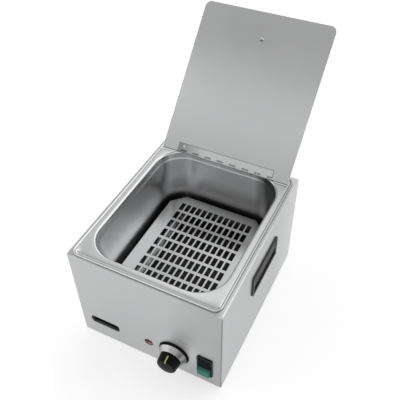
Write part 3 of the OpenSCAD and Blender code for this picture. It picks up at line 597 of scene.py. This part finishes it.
# Places on the cone, from its rear edge (0) to its front edge (1)
MARKS_AT, DOT_AT, NUMBERS_AT = 0.24, 0.5, 0.62


def skirt_frame(angle, along):
    """Matrix on the skirt's cone: X round it, Y towards the panel, Z out. Angle is clockwise from the top."""
    back, front = SKIRT_HI.y, SKIRT_LO.y
    r_back = (SKIRT_HI.x - SKIRT_LO.x) / 2
    radius = r_back + (SKIRT_FRONT_R - r_back) * along
    y = back + (front - back) * along
    slope = math.atan2(r_back - SKIRT_FRONT_R, back - front)
    out = Vector((math.sin(angle), 0, math.cos(angle)))
    normal = (out * math.cos(slope) + Vector((0, -1, 0)) * math.sin(slope)).normalized()
    round_it = Vector((math.cos(angle), 0, -math.sin(angle)))
    up = normal.cross(round_it)
    matrix = Matrix((round_it, up, normal)).transposed().to_4x4()
    matrix.translation = Vector((KNOB_X, y, KNOB_Z)) + out * radius
    return matrix


def scale_angle(i, count):
    """Angle of place i when count places share the scale evenly."""
    return SCALE_FIRST + (SCALE_LAST - SCALE_FIRST) * i / (count - 1)


def dial_marks():
    verts, faces = [], []
    count = (SCALE_NUMBERS - 1) * MARKS_PER_NUMBER + 1
    for i in range(count):
        length = MARK_SHORT if i % MARKS_PER_NUMBER else MARK_LONG
        shift = Matrix.Translation((0, (MARK_LONG - length) / 2, 0))
        place = skirt_frame(scale_angle(i, count), MARKS_AT) @ shift
        add_box(verts, faces, (MARK_W, length, MARK_THICK), place)
    marks = mesh_piece("dial_marks", verts, faces, "print_and_shade", "housing")
    points, sides = disc_mesh(DOT_R, DOT_THICK)
    dot = mesh_piece("dial_off_dot", placed(points, skirt_frame(0, DOT_AT)), sides, "print_and_shade", "housing")


def dial_numbers():
    for i in range(SCALE_NUMBERS):
        curve = bpy.data.curves.new(f"dial_number_{i + 1}", "FONT")
        curve.body = str(FIRST_NUMBER + NUMBER_STEP * i)
        curve.size = NUMBER_SIZE
        curve.align_x, curve.align_y = "CENTER", "CENTER"
        curve.extrude = NUMBER_THICK
        text = bpy.data.objects.new(f"dial_number_{i + 1}", curve)
        bpy.context.scene.collection.objects.link(text)
        text.data.materials.append(MATERIALS["print_and_shade"])
        text.matrix_world = skirt_frame(scale_angle(i, SCALE_NUMBERS), NUMBERS_AT)
        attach(text, "housing")


dial_marks()
dial_numbers()


# Lid and hinge trim, placed in the closed lid's plane and turned open

# Spot welds: places across and forward of the hinge axis in millimetres, size and height under the axis
WELDS = ((-88, 10.5), (-52, 11), (-8, 10.5), (38, 11), (67, 10.8), (91.7, 8.5))
WELD_R, WELD_THICK, WELD_LIFT, WELD_SMOOTH = 1.9 * MM, 0.14 * MM, -2.5 * MM, 40

# Dark lines of painted shadow and the screws' crosses of painted shade
LINE_THICK, LINE_LIFT = 0.06 * MM, -1.54 * MM
CROSS_THICK, CROSS_ARM = 0.1 * MM, 0.26
LID_SCREW_FORWARD, LID_SCREW_LIFT, LID_CROSS = 247.5 * MM, -3.3 * MM, 3.0 * MM
REAR_SCREW_R, REAR_CROSS = 3.2 * MM, 2.6 * MM


def on_lid(x, s, lift):
    """Point of the lid: x across, s forward of the hinge axis, lift below (negative) the axis when closed."""
    turn = Matrix.Rotation(-LID_OPEN, 4, "X")
    return Matrix.Translation(HINGE) @ turn @ Matrix.Translation((x, -s, lift))


def spot_welds():
    verts, faces = disc_mesh(WELD_R, WELD_THICK)
    flip = Matrix.Rotation(math.pi, 4, "X")
    for i, (x, s) in enumerate(WELDS):
        points = placed(verts, on_lid(x * MM, s * MM, WELD_LIFT) @ flip)
        weld = mesh_piece(f"spot_weld_{i + 1}", points, faces, "screws", "lid", WELD_SMOOTH)


def hinge_shadow_lines():
    """Dark strips of painted shadow: in the knuckle notches, round the leaf and at the lower edge of the lid.
    """
    half, lid_half = (LEAF_HI.x - LEAF_LO.x) / 2, (LID_HI.x - LID_LO.x) / 2
    ear = (lid_half - half) / 2
    beside, between = half + 0.3 * MM, half + ear
    # Name, middle across and forward, half width in metres and half height in millimetres
    lines = (
        ("notch_shadow", 0, 3.15, half, 0.52),
        ("leaf_edge_shadow", 0, 16.35, half + 0.6 * MM, 0.35),
        ("leaf_end_shadow_left", -beside, 9.8, 0.3 * MM, 6.5),
        ("leaf_end_shadow_right", beside, 9.8, 0.3 * MM, 6.5),
        ("ear_shadow_left", -between, -1.7, ear, 0.6),
        ("ear_shadow_right", between, -1.7, ear, 0.6),
    )
    for name, x, forward, half_w, half_h in lines:
        points, sides = box_mesh((2 * half_w, 2 * half_h * MM, LINE_THICK))
        line = mesh_piece(name, placed(points, on_lid(x, forward * MM, LINE_LIFT)), sides, "print_and_shade", "lid")


def cross_recess_shade(name, matrix, size, body):
    """Dark cross of painted shade for the recess in a screw head."""
    verts, faces = [], []
    for span in ((size, size * CROSS_ARM, CROSS_THICK), (size * CROSS_ARM, size, CROSS_THICK)):
        add_box(verts, faces, span, matrix)
    cross = mesh_piece(name, verts, faces, "print_and_shade", body)


def screw_shade_crosses():
    place = on_lid(0, LID_SCREW_FORWARD, LID_SCREW_LIFT)
    cross_recess_shade("lid_screw_cross", place, LID_CROSS, "lid")
    lo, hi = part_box("rear_screws")
    for i, x in enumerate((lo.x + REAR_SCREW_R, hi.x - REAR_SCREW_R)):
        for k, z in enumerate((lo.z + REAR_SCREW_R, (lo.z + hi.z) / 2, hi.z - REAR_SCREW_R)):
            stand = Matrix.Translation((x, hi.y, z)) @ Matrix.Rotation(math.pi / 2, 4, "X")
            cross_recess_shade(f"rear_screw_cross_{i}{k}", stand, REAR_CROSS, "housing")


spot_welds()
hinge_shadow_lines()
screw_shade_crosses()


# Floor, light and camera


# The floor's half size in metres, and the light it gives to the camera and to reflections
FLOOR_HALF, FLOOR_SEEN, FLOOR_MIRRORED = 6.0, 0.48, 0.38


def floor():
    mesh = bpy.data.meshes.new("floor")
    half = FLOOR_HALF
    corners = [(-half, -half, 0), (half, -half, 0), (half, half, 0), (-half, half, 0)]
    mesh.from_pydata(corners, [], [(0, 1, 2, 3)])
    obj = bpy.data.objects.new("floor", mesh)
    bpy.context.scene.collection.objects.link(obj)
    mat, tree, shader = new_material("floor_paint")
    shader.inputs["Base Color"].default_value = (0.82, 0.82, 0.82, 1)
    shader.inputs["Roughness"].default_value = 0.9
    shader.inputs["Specular IOR Level"].default_value = 0.1
    path = tree.nodes.new("ShaderNodeLightPath")
    seen = add_node(tree, "ShaderNodeMath", "MULTIPLY", {1: FLOOR_SEEN})
    mirrored = add_node(tree, "ShaderNodeMath", "MULTIPLY_ADD", {1: FLOOR_MIRRORED})
    link_all(
        tree,
        (path.outputs["Is Camera Ray"], seen.inputs[0]),
        (path.outputs["Is Glossy Ray"], mirrored.inputs[0]),
        (seen.outputs["Value"], mirrored.inputs[2]),
        (mirrored.outputs["Value"], shader.inputs["Emission Strength"]),
    )
    shader.inputs["Emission Color"].default_value = (1, 1, 1, 1)
    mesh.materials.append(mat)


# Light of the room round the X axis: share of the half turn from the front over the top to the rear
ROOM_LIGHT = (
    (0.0, 0.72), (0.19, 0.58), (0.235, 0.62), (0.262, 0.96), (0.283, 0.84), (0.305, 0.42), (0.325, 0.56),
    (0.345, 0.80), (0.375, 0.32), (0.48, 0.22), (0.57, 0.30), (0.65, 0.66), (0.76, 0.78), (1.0, 0.72),
)

# Towards the rear the light grows from left to right: its factor is 1 + lean * (x + start) * y, where x and
# y are those of its direction, and it stays between two bounds
ROOM_LEAN, LEAN_START, LEAN_LEAST, LEAN_MOST = 5.4, 0.36, 0.72, 1.4


def room():
    world = bpy.data.worlds.new("studio")
    bpy.context.scene.world = world
    world.use_nodes = True
    tree = world.node_tree
    tree.nodes.clear()
    out = tree.nodes.new("ShaderNodeOutputWorld")
    back = tree.nodes.new("ShaderNodeBackground")
    coord = tree.nodes.new("ShaderNodeTexCoord")
    split = tree.nodes.new("ShaderNodeSeparateXYZ")
    front = add_node(tree, "ShaderNodeMath", "MULTIPLY", {1: -1.0})
    angle = add_node(tree, "ShaderNodeMath", "ARCTAN2")
    share = add_node(tree, "ShaderNodeMath", "MULTIPLY", {1: 1 / math.pi})
    ramp = colour_ramp(tree, [(place, (level, level, level)) for place, level in ROOM_LIGHT])
    ramp.color_ramp.interpolation = "EASE"
    rear = add_node(tree, "ShaderNodeMath", "MAXIMUM", {1: 0.0})
    aside = add_node(tree, "ShaderNodeMath", "MULTIPLY_ADD", {1: ROOM_LEAN, 2: ROOM_LEAN * LEAN_START})
    leaning = add_node(tree, "ShaderNodeMath", "MULTIPLY_ADD", {2: 1.0})
    bounded = add_node(tree, "ShaderNodeClamp", inputs={"Min": LEAN_LEAST, "Max": LEAN_MOST})
    lit = add_node(tree, "ShaderNodeVectorMath", "SCALE")
    white = colour_mix(tree, "B", (1, 1, 1))
    path = tree.nodes.new("ShaderNodeLightPath")
    link_all(
        tree,
        (coord.outputs["Generated"], split.inputs["Vector"]),
        (split.outputs["Y"], front.inputs[0]),
        (split.outputs["Z"], angle.inputs[0]),
        (front.outputs["Value"], angle.inputs[1]),
        (angle.outputs["Value"], share.inputs[0]),
        (share.outputs["Value"], ramp.inputs["Fac"]),
        (split.outputs["Y"], rear.inputs[0]),
        (split.outputs["X"], aside.inputs[0]),
        (rear.outputs["Value"], leaning.inputs[0]),
        (aside.outputs["Value"], leaning.inputs[1]),
        (leaning.outputs["Value"], bounded.inputs["Value"]),
        (ramp.outputs["Color"], lit.inputs[0]),
        (bounded.outputs["Result"], lit.inputs["Scale"]),
        (lit.outputs["Vector"], white.inputs["A"]),
        (path.outputs["Is Camera Ray"], white.inputs["Factor"]),
        (white.outputs["Result"], back.inputs["Color"]),
        (back.outputs["Background"], out.inputs["Surface"]),
    )


# Area lights: name, place, aim, width and height, power
SOFTBOXES = (
    ("left_key", (-1.5, -0.3, 1.3), (0, 0.0, 0.1), (1.4, 0.9), 6.5),
    ("side_fill", (1.5, 0.4, 1.1), (0.6, 0.1, 0), (1.0, 1.4), 2.2),
)


def softbox(name, place, aim, size, power):
    data = bpy.data.lights.new(name, "AREA")
    data.shape = "RECTANGLE"
    data.size, data.size_y = size
    data.energy = power
    light = bpy.data.objects.new(name, data)
    bpy.context.scene.collection.objects.link(light)
    light.location = place
    light.rotation_euler = (Vector(aim) - Vector(place)).to_track_quat("-Z", "Y").to_euler()


def camera():
    """Camera of the photograph, from its place relative to the foot of the front panel's middle."""
    focal_px, image_px, sensor = 560.49, 400.0, 36.0
    azimuth, elevation, roll = (math.radians(a) for a in (27.39, 44.52, -1.12))
    place = Vector((337.8, -438.9, 945.1)) * MM + Vector((0, FRONT_Y, 0))
    data = bpy.data.cameras.new("photo_camera")
    data.sensor_width = sensor
    data.lens = focal_px / image_px * sensor
    data.clip_end = 50
    cam = bpy.data.objects.new("photo_camera", data)
    bpy.context.scene.collection.objects.link(cam)
    right = Vector((math.cos(azimuth), math.sin(azimuth), 0))
    level = math.cos(elevation)
    back = Vector((math.sin(azimuth) * level, -math.cos(azimuth) * level, math.sin(elevation)))
    up = back.cross(right)
    turned_right = right * math.cos(roll) + up * math.sin(roll)
    turned_up = up * math.cos(roll) - right * math.sin(roll)
    matrix = Matrix((turned_right, turned_up, back)).transposed().to_4x4()
    matrix.translation = place
    cam.matrix_world = matrix
    bpy.context.scene.camera = cam


floor()
room()
for light in SOFTBOXES:
    softbox(*light)
camera()
bpy.context.scene.view_settings.view_transform = "Standard"
